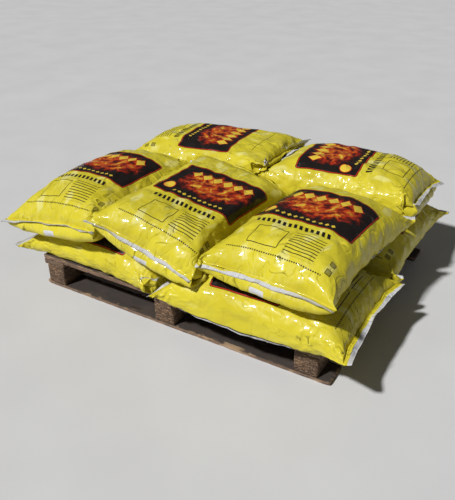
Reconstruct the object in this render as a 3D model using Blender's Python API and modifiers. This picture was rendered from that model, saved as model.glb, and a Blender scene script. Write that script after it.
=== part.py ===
"""A loaded pallet: ten film sacks of solid fuel lumps on a wooden block pallet.

Metres, +Z up. The origin is on the floor under the middle of the pallet, +X runs along the
pallet's long front edge and +Y runs away from the front, into its depth.
The lower layer has two sacks lying along X in front of three lying along Y.
The upper layer is turned round: three along Y in front of two along X.
"""
import math
from collections import namedtuple

import bmesh
import bpy
from mathutils import Matrix, Vector

# Pallet, outer size
PALLET_LENGTH = 1.200
PALLET_DEPTH = 1.000
TOUCH_GAP = 0.0003
EDGE_WEAR = 0.0015

# Pallet, heights from the floor up
BASE_THICKNESS = 0.013
BLOCK_HEIGHT = 0.076
STRINGER_THICKNESS = 0.020
DECK_THICKNESS = 0.0175

# Pallet, boards and blocks in plan
DECK_BOARDS = 7
BOARD_WIDTH = 0.100
STRINGER_WIDTH = 0.098
BLOCK_WIDTH = 0.082
BLOCK_DEPTH = 0.120
STRINGER_X = {"left": -0.551, "middle": -0.022, "right": 0.521}
BLOCK_X = {"left": -0.543, "middle": -0.027, "right": 0.516}
ROW_Y = {
    "front": (BLOCK_DEPTH - PALLET_DEPTH) / 2,
    "centre": 0.0,
    "back": (PALLET_DEPTH - BLOCK_DEPTH) / 2,
}

# Heights that follow from the boards
BLOCK_Z = BASE_THICKNESS + TOUCH_GAP
STRINGER_Z = BLOCK_Z + BLOCK_HEIGHT + TOUCH_GAP
DECK_Z = STRINGER_Z + STRINGER_THICKNESS + TOUCH_GAP
DECK_TOP = DECK_Z + DECK_THICKNESS

# Sacks
LOWER_HEIGHT = 0.142
LOWER_Z = DECK_TOP + TOUCH_GAP
UPPER_Z = LOWER_Z + LOWER_HEIGHT + TOUCH_GAP
SEAL_THICKNESS = 0.004
CAGE_CELLS = (12, 6, 2)
FILM_SMOOTHING = 1

# Finishes: colour, roughness, metallic
YELLOW_FILM = ((0.74, 0.64, 0.06, 1.0), 0.25, 0.0)
WEATHERED_WOOD = ((0.16, 0.10, 0.07, 1.0), 0.85, 0.0)
PRESSED_CHIP = ((0.20, 0.12, 0.08, 1.0), 0.90, 0.0)

# A sack: middle in plan, heading of its length from foot to head in degrees from +X, length
# with both seals, width of the filled body, height at its middle, rise of its top for each
# metre towards its left, share of that height kept at its foot's and its head's shoulder, how
# far its foot and its head lie towards the head for each metre to its left, how far the
# seals' ends stick out past the body on its right and left, and the heights of the foot's and
# the head's seal over the sack's underside, each at its right and left end.
Sack = namedtuple(
    "Sack", "name x y heading length width height lean shoulders skews ears foot_seal head_seal")
LEVEL = 0.0
SQUARE = (0.0, 0.0)

LOWER_SACKS = (
    Sack("sack_lower_front_left", -0.338, -0.320, -1.0, 0.594, 0.425, LOWER_HEIGHT, LEVEL,
         (0.60, 0.92), (0.33, 0.0), (0.015, -0.005), (0.030, 0.055), (0.060, 0.050)),
    Sack("sack_lower_front_right", 0.330, -0.320, 180.0, 0.695, 0.417, LOWER_HEIGHT, LEVEL,
         (0.50, 0.55), SQUARE, (-0.030, 0.040), (0.062, 0.040), (0.065, 0.041)),
    Sack("sack_lower_back_left", -0.448, 0.244, 90.5, 0.670, 0.420, LOWER_HEIGHT, LEVEL,
         (0.86, 0.50), SQUARE, (-0.020, 0.035), (0.070, 0.035), (0.062, 0.045)),
    Sack("sack_lower_back_middle", -0.011, 0.250, 90.0, 0.680, 0.404, LOWER_HEIGHT, LEVEL,
         (0.86, 0.50), SQUARE, (-0.015, -0.015), (0.068, 0.040), (0.045, 0.062)),
    Sack("sack_lower_back_right", 0.427, 0.244, 89.0, 0.670, 0.424, LOWER_HEIGHT, LEVEL,
         (0.82, 0.50), SQUARE, (0.030, -0.020), (0.056, 0.042), (0.045, 0.060)),
)
UPPER_SACKS = (
    Sack("sack_upper_front_left", -0.480, -0.243, 90.0, 0.645, 0.412, 0.163, LEVEL,
         (0.47, 0.82), SQUARE, (-0.015, 0.040), (0.055, 0.006), (0.057, 0.054)),
    Sack("sack_upper_front_middle", -0.047, -0.238, 87.5, 0.670, 0.398, 0.156, 0.09,
         (0.52, 0.92), (-0.15, 0.0), (-0.025, -0.010), (0.006, 0.095), (0.035, 0.085)),
    Sack("sack_upper_front_right", 0.386, -0.222, 87.5, 0.685, 0.412, 0.168, LEVEL,
         (0.42, 0.65), SQUARE, (0.035, 0.000), (0.050, 0.050), (0.058, 0.042)),
    Sack("sack_upper_back_left", -0.338, 0.318, 2.0, 0.675, 0.412, 0.164, LEVEL,
         (0.55, 0.68), SQUARE, (-0.035, 0.045), (0.075, 0.024), (0.105, 0.065)),
    Sack("sack_upper_back_right", 0.332, 0.343, 181.0, 0.664, 0.414, 0.171, LEVEL,
         (0.55, 0.45), (0.10, 0.0), (0.045, -0.030), (0.022, 0.068), (0.020, 0.072)),
)

# The cage of half a sack. Along its length: each station's place as a share of the half
# length, and how much of the shoulder's drop its top has made; the last two are the seal's.
STATION_PLACE = (0.0, 0.28, 0.52, 0.73, 0.89, 0.975, 1.0)
STATION_DROP = (0.0, 0.0, 0.0, 0.16, 1.0)
# A shoulder that keeps more than the middling share lies further out, by this much times the excess
SHOULDER_SHIFT = 0.12
SHOULDER_MIDDLING = 0.70
# Across its width: each cut's place as a share of the half width, and its top's height
ACROSS_PLACE = (0.0, 0.45, 0.80, 1.0)
ACROSS_TOP = (1.0, 1.0, 0.87, 0.52)
SIDE_MIDDLE = 0.30
SIDE_BULGE = 1.03
FOOT_TUCK = 0.93
# The skew of an end grows with this power of the place along the half length
SKEW_POWER = 3


def clear_scene():
    for old in list(bpy.data.objects):
        bpy.data.objects.remove(old, do_unlink=True)


def new_collection(name):
    collection = bpy.data.collections.new(name)
    bpy.context.scene.collection.children.link(collection)
    return collection


def make_material(name, finish):
    colour, roughness, metallic = finish
    material = bpy.data.materials.new(name)
    material.use_nodes = True
    shader = material.node_tree.nodes["Principled BSDF"]
    shader.inputs["Base Color"].default_value = colour
    shader.inputs["Roughness"].default_value = roughness
    shader.inputs["Metallic"].default_value = metallic
    material.diffuse_color = colour
    return material


def add_object(name, mesh, material, collection):
    piece = bpy.data.objects.new(name, mesh)
    piece.data.materials.append(material)
    collection.objects.link(piece)
    return piece


def box_piece(name, size, foot, material, collection):
    """A sawn board or block: a box with worn edges, foot is the middle of its underside."""
    bm = bmesh.new()
    bmesh.ops.create_cube(bm, size=1.0, matrix=Matrix.Diagonal((*size, 1.0)))
    mesh = bpy.data.meshes.new(name)
    bm.to_mesh(mesh)
    bm.free()
    piece = add_object(name, mesh, material, collection)
    piece.location = Vector(foot) + Vector((0.0, 0.0, size[2] / 2))
    bevel = piece.modifiers.new("worn_edges", "BEVEL")
    bevel.width = EDGE_WEAR
    bevel.segments = 1
    return piece


def cage_box(cells):
    """A box from -1 to 1 on every axis, cut into the given number of cells along each."""
    bm = bmesh.new()
    bmesh.ops.create_cube(bm, size=2.0)
    for axis, count in enumerate(cells):
        along = [e for e in bm.edges if abs(e.verts[0].co[axis] - e.verts[1].co[axis]) > 0.01]
        bmesh.ops.subdivide_edges(bm, edges=along, cuts=count - 1, use_grid_fill=True)
    return bm


def seal_point(sack, cage, x, across):
    """A point of the thin seal: its ends stick out past the body, and it may lie aslant."""
    ear = sack.ears[0] if across < 0 else sack.ears[1]
    right, left = sack.foot_seal if cage.x < 0 else sack.head_seal
    z = right + (left - right) * (across + 1.0) / 2
    y = across * (sack.width / 2 + ear)
    return Vector((x, y, z + cage.z * SEAL_THICKNESS / 2))


def body_point(sack, cage, x, across, top):
    """A point of the filled body, widest low down and flat underneath."""
    cut = round(abs(cage.y) * CAGE_CELLS[1] / 2)
    y = across * sack.width / 2
    if abs(cage.z) < 0.5:
        return Vector((x, y * SIDE_BULGE, SIDE_MIDDLE * top))
    if cage.z < 0.0:
        return Vector((x, y * FOOT_TUCK if cut == CAGE_CELLS[1] // 2 else y, 0.0))
    return Vector((x, y, top * ACROSS_TOP[cut] + sack.lean * y))


def sack_point(sack, cage):
    """Where a point of the unit cage goes on the sack, in the sack's own axes.

    Along the length the top runs level from the middle, drops over the shoulder, and ends in
    a thin seal. Across the width it rounds off towards the sides.
    """
    end = 0 if cage.x < 0 else 1
    station = round(abs(cage.x) * CAGE_CELLS[0] / 2)
    across = math.copysign(ACROSS_PLACE[round(abs(cage.y) * CAGE_CELLS[1] / 2)], cage.y)
    place = STATION_PLACE[station]
    if station == len(STATION_DROP) - 1:
        place += SHOULDER_SHIFT * (sack.shoulders[end] - SHOULDER_MIDDLING)
    x = math.copysign(place, cage.x) * sack.length / 2
    x += sack.skews[end] * across * sack.width / 2 * place ** SKEW_POWER
    if station >= len(STATION_DROP):
        return seal_point(sack, cage, x, across)
    drop = STATION_DROP[station] * (1.0 - sack.shoulders[end])
    return body_point(sack, cage, x, across, sack.height * (1.0 - drop))


def sack_piece(sack, foot_z, material, collection):
    """A filled film sack: a coarse cage smoothed into a pillow with a thin seal at each end."""
    bm = cage_box(CAGE_CELLS)
    for vertex in bm.verts:
        vertex.co = sack_point(sack, vertex.co.copy())
    mesh = bpy.data.meshes.new(sack.name)
    bm.to_mesh(mesh)
    bm.free()
    mesh.shade_smooth()
    piece = add_object(sack.name, mesh, material, collection)
    piece.location = (sack.x, sack.y, foot_z)
    piece.rotation_euler = (0.0, 0.0, math.radians(sack.heading))
    smooth = piece.modifiers.new("soft_form", "SUBSURF")
    smooth.levels = FILM_SMOOTHING
    smooth.render_levels = FILM_SMOOTHING
    return piece


def build_pallet(collection):
    """Base boards and deck boards run along X, stringers along Y, blocks stand between."""
    wood = make_material("weathered_wood", WEATHERED_WOOD)
    chip = make_material("pressed_chip", PRESSED_CHIP)
    for row, y in ROW_Y.items():
        base_y = math.copysign((PALLET_DEPTH - BOARD_WIDTH) / 2, y) if y else 0.0
        size = (PALLET_LENGTH, BOARD_WIDTH, BASE_THICKNESS)
        box_piece(f"base_board_{row}", size, (0.0, base_y, 0.0), wood, collection)
        for side, x in BLOCK_X.items():
            size = (BLOCK_WIDTH, BLOCK_DEPTH, BLOCK_HEIGHT)
            box_piece(f"block_{row}_{side}", size, (x, y, BLOCK_Z), chip, collection)
    for side, x in STRINGER_X.items():
        size = (STRINGER_WIDTH, PALLET_DEPTH, STRINGER_THICKNESS)
        box_piece(f"stringer_board_{side}", size, (x, 0.0, STRINGER_Z), wood, collection)
    pitch = (PALLET_DEPTH - BOARD_WIDTH) / (DECK_BOARDS - 1)
    for number in range(DECK_BOARDS):
        y = (BOARD_WIDTH - PALLET_DEPTH) / 2 + number * pitch
        size = (PALLET_LENGTH, BOARD_WIDTH, DECK_THICKNESS)
        box_piece(f"deck_board_{number + 1}", size, (0.0, y, DECK_Z), wood, collection)


def build_sacks(collection):
    film = make_material("yellow_film", YELLOW_FILM)
    for sack in LOWER_SACKS:
        sack_piece(sack, LOWER_Z, film, collection)
    for sack in UPPER_SACKS:
        sack_piece(sack, UPPER_Z, film, collection)


def build():
    clear_scene()
    collection = new_collection("pallet_of_sacks")
    build_pallet(collection)
    build_sacks(collection)


build()
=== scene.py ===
"""The looks of a loaded pallet: ten glossy film sacks of fuel lumps on a weathered block pallet.

Metres throughout, in the frame of the construction: the origin is on the floor under the
middle of the pallet, +X along its front edge, +Y into its depth.
"""

import math
from collections import namedtuple

import bpy
import numpy as np
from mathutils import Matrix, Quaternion, Vector


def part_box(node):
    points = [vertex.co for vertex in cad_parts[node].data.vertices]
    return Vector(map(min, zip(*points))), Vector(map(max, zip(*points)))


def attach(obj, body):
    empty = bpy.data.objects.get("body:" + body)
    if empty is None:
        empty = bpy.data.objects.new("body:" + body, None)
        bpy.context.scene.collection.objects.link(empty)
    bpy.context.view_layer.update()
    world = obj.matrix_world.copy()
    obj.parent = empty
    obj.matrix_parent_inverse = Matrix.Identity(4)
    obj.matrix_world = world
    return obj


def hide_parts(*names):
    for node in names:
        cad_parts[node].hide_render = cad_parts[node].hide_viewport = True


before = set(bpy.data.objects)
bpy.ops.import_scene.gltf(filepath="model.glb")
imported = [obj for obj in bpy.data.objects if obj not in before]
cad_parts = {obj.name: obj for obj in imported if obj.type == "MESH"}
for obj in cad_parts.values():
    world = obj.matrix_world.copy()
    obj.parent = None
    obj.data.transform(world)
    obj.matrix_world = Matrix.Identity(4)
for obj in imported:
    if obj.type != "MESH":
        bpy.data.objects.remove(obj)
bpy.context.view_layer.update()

# The films are worked out in single precision, with lengths and areas kept off zero, and a
# search for what is nearest starts out FAR away
SINGLE = np.float32
NO_LENGTH = 1e-9
NO_AREA = 1e-12
FAR = 9.0

# Film tube of a sack, laid flat
FLAT_WIDTH = 0.510
FLAT_LENGTH = 0.735
TUBE_ROUND = 2.0 * FLAT_WIDTH
SEAL_DEPTH = 0.020
SEAL_STIFFNESS = 0.04
FILM_GAP = 0.0008
FILLED_THICKNESS = 0.135

# The form that the relaxing starts from: the powers of its ends and sides, the shares of its
# length and width that the filling takes up, and the share of its thickness that it hangs over
# the ground
END_POWERS = (5, 0.8)
SIDE_POWERS = (3, 0.6)
SHORTENED = 0.04
NARROWED = 0.16
START_SHARE = 0.6

# Grid of the film at the coarsest level, and how the filled tube comes to rest on each level:
# the fill is shaken down for one part of the steps in SHAKEN_PART
RING_POINTS = 56
ROW_CELLS = 42
LEVELS = (
    # steps, sweeps in each step, weight of the film, stiffness against folding, shake
    (240, 5, 0.00008, 0.10, 0.0012),
    (90, 5, 0.00004, 0.08, 0.0004),
)
SHAKEN_PART = 3
KEEP_SPEED = 0.90
PRESSURE_SHARE = 0.6
HEAD_GAIN = 0.45
FLOOR_GRIP = 0.5

# The slack film over the lumps of fuel: how much longer it is than the tube, how deep the lumps
# lie under it, how far its sides are drawn in, and how it is puckered there
SLACK_ALONG = 1.045
LUMP_SIZE = 0.085
LUMP_INSET = 0.002
LUMP_DEPTH = 0.005
SIDE_SLACK = 0.004
SIDE_SHARE = 0.60
PUCKER = 0.0025
PUCKER_CELLS = (21, 4)
DRAPE_STEPS = 60
DRAPE_SWEEPS = 5
DRAPE_SPEED = 0.85
DRAPE_PULL = 0.0003
DRAPE_STIFFNESS = 0.12
DRAPE_EASE = 0.5

# Cells of the film, each shaken off its place by a share of its size
CELL_SQUASH = 0.9
CELL_SHAKE = 0.28

# Flat facets between the straight creases of the film: size of a facet and its slope, how they
# vary from patch to patch, and how they fade out at the seals
FACETS = ((0.066, 0.11), (0.034, 0.055))
FACET_REACH = 0.6
FACET_PATCHES = (5, 7)
FACET_MEAN = 0.65
FACET_VARIES = 0.9
FACET_LIMITS = (0.1, 1.3)
FACET_FADE = 0.02

# A sealed end: how far its edge droops and how that varies, and its waves' heights and cells
SEAL_DROOP = 0.004
DROOP_VARIES = 2.5
DROOP_CELLS = 6
SEAL_WAVES = ((0.0034, 9), (0.0018, 26))

# What is added to a sack's own seed for its patches, its facets and its seals' waves
PATCH_SEED = 50
FACET_SEED = 60
WAVE_SEED = 80

# How far the fill slumps out under both ends of an upper sack, and over what length of film
SLUMP = 0.030
SLUMP_DOWN = 0.40
SLUMP_REACH = 0.120

# The right front sack's lower fold hangs over the deck's rim: how far out and down, and which
# part of the film does, round the tube and along it
OVERHANG = (0.028, 0.008)
OVERHANG_ROUND = (0.890, 1.020)
OVERHANG_ALONG = (0.120, 0.680)

# What the sacks lie on: the deck, which falls away past its rim, and the films below
DECK_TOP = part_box("deck_board_1")[1][2]
LAYER_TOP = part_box("sack_lower_back_middle")[1][2]
RIM_EASE = 0.070
RIM_DROP = 0.045
FIELD_CELL = 0.005
FIELD_REACH = 0.80

# A plane between two sacks: a point of it and its normal, which points to its second sack
Cut = namedtuple("Cut", "point normal")
MIDDLE_Z = 0.330


def cut(x, y, plan_degrees, lean=0.0):
    """Plane through (x, y, MIDDLE_Z), whose normal points plan_degrees round from +X in plan.

    Lean is how far the plane moves against its normal for each metre that it rises.
    """
    turn = math.radians(plan_degrees)
    normal = np.array([math.cos(turn), math.sin(turn), lean])
    normal /= np.linalg.norm(normal)
    return Cut(np.array([x, y, MIDDLE_Z]), normal)


CUTS = {
    "front_left|front_middle": cut(-0.230, -0.200, 0.0, 1.30),
    "front_middle|front_right": cut(0.152, -0.200, -3.0, 0.30),
    "front_left|back_left": cut(-0.470, 0.080, 92.0, -0.10),
    "front_middle|back": cut(-0.050, 0.105, 92.0),
    "front_right|back_right": cut(0.350, 0.115, 95.0, -0.10),
    "back_left|back_right": cut(-0.045, 0.300, 0.0, -1.30),
    "lower_left|lower_right": cut(-0.040, -0.310, 0.0),
    "lower_front|lower_back": cut(0.0, -0.095, 90.0),
    "lower_left|lower_middle": cut(-0.222, 0.215, 0.0),
    "lower_middle|lower_far_right": cut(0.200, 0.215, 0.0),
}

# A sack: its node, middle in plan, heading of its length from foot to head of the print,
# tilt about its length in degrees, how far its print is rolled round towards its right,
# fill in litres, seed of its shake, its top's height over the middle and its slope along X
# and Y, and the planes it stays behind (-) or beyond (+)
Sack = namedtuple("Sack", "node x y heading tilt roll litres seed top sides")

PRESSED = (LAYER_TOP, 0.0, 0.0)
LOWER_SACKS = (
    Sack("sack_lower_front_left", -0.330, -0.260, -4.0, 0.0, 0.0, 32.5, 11, PRESSED,
         ("-lower_left|lower_right", "-lower_front|lower_back")),
    Sack("sack_lower_front_right", 0.330, -0.325, 180.0, 0.0, 0.012, 35.5, 12, PRESSED,
         ("+lower_left|lower_right", "-lower_front|lower_back")),
    Sack("sack_lower_back_left", -0.430, 0.225, 90.0, 0.0, 0.0, 35.0, 13, PRESSED,
         ("+lower_front|lower_back", "-lower_left|lower_middle")),
    Sack("sack_lower_back_middle", -0.010, 0.225, 90.0, 0.0, 0.0, 35.0, 14, PRESSED,
         ("+lower_front|lower_back", "+lower_left|lower_middle", "-lower_middle|lower_far_right")),
    Sack("sack_lower_back_right", 0.412, 0.225, 90.0, 0.0, 0.0, 35.0, 15, PRESSED,
         ("+lower_front|lower_back", "+lower_middle|lower_far_right")),
)
UPPER_SACKS = (
    Sack("sack_upper_front_left", -0.402, -0.195, 88.0, 8.0, 0.045, 38.5, 21, (0.434, 0.0, 0.0),
         ("-front_left|front_middle", "-front_left|back_left")),
    Sack("sack_upper_front_middle", -0.078, -0.210, 93.0, 9.0, -0.015, 40.5, 22,
         (0.430, -0.12, 0.0),
         ("+front_left|front_middle", "-front_middle|front_right", "-front_middle|back")),
    Sack("sack_upper_front_right", 0.380, -0.205, 86.5, 0.0, 0.0, 42.5, 23, (0.440, 0.02, 0.0),
         ("+front_middle|front_right", "-front_right|back_right")),
    Sack("sack_upper_back_right", 0.246, 0.285, 179.0, -4.0, 0.0, 42.0, 25, (0.444, 0.0, 0.0),
         ("+front_right|back_right", "+front_middle|back", "+back_left|back_right")),
)
# The last sack laid: its head lies over the end of the sack before it
LAST_SACK = Sack("sack_upper_back_left", -0.308, 0.290, 4.0, 0.0, 0.0, 41.5, 24, (0.438, 0.0, 0.0),
                 ("+front_left|back_left", "+front_middle|back"))
OVERHUNG_SACK = "sack_lower_front_right"
CROWN = 0.10


# A film is an array p: its points' x, y and z, by rows along the tube and points round it

def top_of(sack):
    """The sack's top: height and slopes at its middle, less CROWN times the distance squared."""
    height, along_x, along_y = sack.top

    def top(x, y):
        dx = x - sack.x
        dy = y - sack.y
        return height + along_x * dx + along_y * dy - CROWN * (dx * dx + dy * dy)
    return top


def span(a, b):
    """Difference and length between two equal sets of points, kept off zero."""
    between = b - a
    return between, np.sqrt(np.einsum("kij,kij->ij", between, between)) + SINGLE(NO_LENGTH)


def pull(a, b, rest, share=1.0):
    """Moves two sets of points towards their distance at rest, each by half the error."""
    between, length = span(a, b)
    between *= 0.5 * share * (1.0 - rest / length)
    a += between
    b -= between


def pull_diagonals(p, ring, row):
    """The film's diagonals keep their length: half of each error goes on at once."""
    rest = math.hypot(ring, row)
    q = np.concatenate([p, p[:, :, :1]], axis=2)
    rising, length = span(q[:, :-1, :-1], q[:, 1:, 1:])
    rising *= 0.25 * (1.0 - rest / length)
    falling, length = span(q[:, :-1, 1:], q[:, 1:, :-1])
    falling *= 0.25 * (1.0 - rest / length)
    p[:, :-1] += rising + np.roll(falling, 1, axis=2)
    p[:, 1:] -= np.roll(rising, 1, axis=2) + falling


def resist_folds(p, ring, row, stiffness):
    """Points two cells apart are pushed out to a straight span, and never pulled in."""
    between, length = span(p, np.roll(p, -2, axis=2))
    between *= 0.25 * stiffness * np.minimum(1.0 - 2.0 * ring / length, 0.0)
    p += between
    p -= np.roll(between, 2, axis=2)
    between, length = span(p[:, :-2], p[:, 2:])
    between *= 0.25 * stiffness * np.minimum(1.0 - 2.0 * row / length, 0.0)
    p[:, :-2] += between
    p[:, 2:] -= between


def keep_film(p, ring, row, stiffness):
    """One sweep over the film: it neither stretches nor shrinks, it folds a little stiffly."""
    rows, points = p.shape[1:]
    pull(p[:, :, 0::2], p[:, :, 1::2], ring)
    pull(p[:, :, 1:points - 1:2], p[:, :, 2::2], ring)
    pull(p[:, :, points - 1:], p[:, :, :1], ring)
    pull(p[:, 0:rows - 1:2], p[:, 1::2], row)
    pull(p[:, 1:rows - 1:2], p[:, 2::2], row)
    pull_diagonals(p, ring, row)
    resist_folds(p, ring, row, stiffness)


def area_normals(p):
    """Outward area at each point: a quarter of the half cross product of its cells' diagonals."""
    q = np.concatenate([p, p[:, :, :1]], axis=2)
    cell = 0.125 * np.cross(q[:, 1:, 1:] - q[:, :-1, :-1], q[:, 1:, :-1] - q[:, :-1, 1:], axis=0)
    both = cell + np.roll(cell, 1, axis=2)
    normal = np.zeros_like(p)
    normal[:, :-1] += both
    normal[:, 1:] += both
    return normal


def unit_normals(p):
    """The film's outward direction at each point."""
    normal = area_normals(p)
    return normal / (np.linalg.norm(normal, axis=0) + NO_AREA)


def close_seals(p, seal_rows):
    """In the sealed rows the upper and lower film share one place, and keep nearly level.

    A seal is stiff: each sweep takes SEAL_STIFFNESS of its height's distance from a
    straight line, fitted over its width.
    """
    rows, points = p.shape[1:]
    half = points // 2
    upper = slice(1, half)
    mirror = np.arange(points - 1, half, -1)
    for band in (slice(0, seal_rows + 1), slice(rows - 1 - seal_rows, rows)):
        middle = 0.5 * (p[:, band, upper] + p[:, band][:, :, mirror])
        place = np.linspace(-1.0, 1.0, half - 1).astype(SINGLE)
        height = middle[2]
        slope = (height * place).mean(axis=1, keepdims=True) / (place * place).mean()
        straight = height.mean(axis=1, keepdims=True) + slope * place
        middle[2] += SINGLE(SEAL_STIFFNESS) * (straight - height)
        for edge, side in ((0, -1.0), (half, 1.0)):
            line = straight.mean() + slope.mean() * SINGLE(side)
            p[2, band, edge] += SINGLE(SEAL_STIFFNESS) * (line - p[2, band, edge])
        p[:, band, upper] = middle
        p[:, band, half + 1:] = middle[:, :, ::-1]


def filled_form(points, rows, sack, floor_z):
    """Where the relaxing starts: the tube part filled, thinning out to a seal at both ends.

    Round the tube the height is a rounded box's, (1 - a^3)^0.6 of the fill at that place,
    a being the share of the half width. Along it the fill is (1 - v^5)^0.8.
    """
    round_tube = (np.arange(points) / points + sack.roll / TUBE_ROUND) * 2.0 % 2.0
    along = np.linspace(-1.0, 1.0, rows)[:, None]
    across = np.where(round_tube < 1.0, 2.0 * round_tube - 1.0, 3.0 - 2.0 * round_tube)[None]
    side = np.where(round_tube < 1.0, 1.0, -1.0)[None]
    fill = np.clip(1.0 - np.abs(along) ** END_POWERS[0], 0.0, 1.0) ** END_POWERS[1]
    rise = (1.0 - np.abs(across) ** SIDE_POWERS[0]) ** SIDE_POWERS[1]
    x = along * FLAT_LENGTH / 2 * (1.0 - SHORTENED * (1.0 - across ** 2))
    y = -across * FLAT_WIDTH / 2 * (1.0 - NARROWED * fill)
    z = side * rise * fill * FILLED_THICKNESS / 2
    tilt = math.radians(sack.tilt)
    y, z = y * math.cos(tilt) - z * math.sin(tilt), y * math.sin(tilt) + z * math.cos(tilt)
    turn = math.radians(sack.heading)
    place = (sack.x + x * math.cos(turn) - y * math.sin(turn),
             sack.y + x * math.sin(turn) + y * math.cos(turn),
             floor_z + FILLED_THICKNESS * START_SHARE + z)
    return np.stack(place).astype(SINGLE)


def refined(p):
    """Twice the points each way, new ones halfway between their neighbours."""
    rows, points = p.shape[1:]
    longer = np.empty((3, 2 * rows - 1, points), SINGLE)
    longer[:, 0::2] = p
    longer[:, 1::2] = 0.5 * (p[:, 1:] + p[:, :-1])
    finer = np.empty((3, 2 * rows - 1, 2 * points), SINGLE)
    finer[:, :, 0::2] = longer
    finer[:, :, 1::2] = 0.5 * (longer + np.roll(longer, -1, axis=2))
    return finer


def walls_of(sack):
    """The sack's planes as (normal, offset), with the sack on the side the normal points to."""
    walls = []
    for side in sack.sides:
        plane = CUTS[side[1:]]
        normal = plane.normal if side[0] == "+" else -plane.normal
        walls.append((normal, float(normal @ plane.point) + FILM_GAP))
    return walls


def stop_at_neighbours(p, before, walls, ground, top):
    """Puts the film back in front of its planes, under its top and on what it stands on."""
    for normal, offset in walls:
        depth = np.maximum(offset - np.einsum("k,kij->ij", normal, p), 0.0)
        p += normal.astype(SINGLE)[:, None, None] * depth.astype(SINGLE)
    p[2] = np.minimum(p[2], top(p[0], p[1]))
    lift = np.maximum(ground(p[0], p[1]) - p[2], 0.0)
    p[2] += lift
    p[:2] += np.where(lift > 0.0, SINGLE(FLOOR_GRIP) * (before[:2] - p[:2]), 0.0)


def relaxed_sack(sack, ground, floor_z):
    """The film's places at rest: momentum, weight, the fill's push, the film and its contacts.

    The fill pushes each point out along its area, harder the deeper it lies, by what the
    sack's volume still lacks. What stands under a point lifts it, and grips it as it slides.
    """
    rng = np.random.default_rng(sack.seed)
    volume = sack.litres / 1000.0
    walls = walls_of(sack)
    top = top_of(sack)
    p = filled_form(RING_POINTS, ROW_CELLS + 1, sack, floor_z)
    for level, (steps, sweeps, weight, stiffness, shake) in enumerate(LEVELS):
        if level:
            p = refined(p)
        rows, points = p.shape[1:]
        ring = SINGLE(TUBE_ROUND / points)
        row = SINGLE(FLAT_LENGTH / (rows - 1))
        seal_rows = max(1, round(SEAL_DEPTH / float(row)))
        before = p.copy()
        for step in range(steps):
            moved = (p - before) * SINGLE(KEEP_SPEED)
            before = p.copy()
            p = p + moved
            p[2, seal_rows:-seal_rows] -= SINGLE(weight)
            if step < steps // SHAKEN_PART:
                p += rng.normal(0.0, shake, p.shape).astype(SINGLE)
            area = area_normals(p)
            push = area * (1.0 + HEAD_GAIN * (p[2].max() - p[2]) / FILLED_THICKNESS)
            push[:, :seal_rows + 1] = 0.0
            push[:, -seal_rows - 1:] = 0.0
            now = float(np.einsum("kij,kij->", p, area)) / 3.0
            gain = float(np.einsum("kij,kij->", push, area))
            p += push * SINGLE((volume - now) / gain * PRESSURE_SHARE)
            for _ in range(sweeps):
                keep_film(p, ring, row, stiffness)
                close_seals(p, seal_rows)
            stop_at_neighbours(p, before, walls, ground, top)
    return p


def smooth_noise(rng, shape, cells):
    """Random lattice of the given cells, spread over the shape with a cosine ease between them."""
    lattice = rng.uniform(-1.0, 1.0, (cells[0] + 2, cells[1]))
    i = np.linspace(0.0, cells[0], shape[0])
    j = np.arange(shape[1]) / shape[1] * cells[1]
    low_i = np.minimum(i.astype(int), cells[0])
    low_j = j.astype(int)
    ease_i = (0.5 - 0.5 * np.cos(np.pi * (i - low_i)))[:, None]
    ease_j = (0.5 - 0.5 * np.cos(np.pi * (j - low_j)))[None]
    next_j = (low_j + 1) % cells[1]
    low = lattice[low_i][:, low_j] * (1 - ease_j) + lattice[low_i][:, next_j] * ease_j
    high = lattice[low_i + 1][:, low_j] * (1 - ease_j) + lattice[low_i + 1][:, next_j] * ease_j
    return low * (1 - ease_i) + high * ease_i


def shaken_grid(size, seed):
    """Middles of cells about as wide as size over the flat tube, each shaken off its place."""
    rng = np.random.default_rng(seed)
    round_cells = int(TUBE_ROUND / size)
    along_cells = int(FLAT_LENGTH / size / CELL_SQUASH)
    i, j = np.meshgrid(np.arange(round_cells), np.arange(along_cells), indexing="ij")
    shake = rng.uniform(-CELL_SHAKE, CELL_SHAKE, (2, round_cells, along_cells)) * size
    u = ((i + 0.5) / round_cells * TUBE_ROUND + (j % 2) * size / 2 + shake[0]) % TUBE_ROUND
    v = (j + 0.5) / along_cells * FLAT_LENGTH + shake[1]
    return np.stack([u.ravel(), v.ravel()], -1)


def flat_places(rows, points):
    """Each grid point's place round the flat tube and along it."""
    around = (np.arange(points) / points * TUBE_ROUND)[None]
    along = np.linspace(0.0, FLAT_LENGTH, rows)[:, None]
    return around, along


def wrapped(across):
    """The shorter way round the tube."""
    return (across + FLAT_WIDTH) % TUBE_ROUND - FLAT_WIDTH


def valleys(rows, points, seed):
    """Depth of the valleys between the fuel lumps under the film, from 0 to 1.

    A place's depth is its distance to the nearest lump's middle over the mean of that and its
    distance to the second nearest.
    """
    around, along = flat_places(rows, points)
    nearest = np.full((rows, points), FAR)
    second = nearest.copy()
    for a, b in shaken_grid(LUMP_SIZE, seed):
        distance = np.hypot(wrapped(around - a), along - b)
        second = np.minimum(second, np.maximum(nearest, distance))
        nearest = np.minimum(nearest, distance)
    return np.clip(2.0 * nearest / (nearest + second), 0.0, 1.0).astype(SINGLE)


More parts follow.
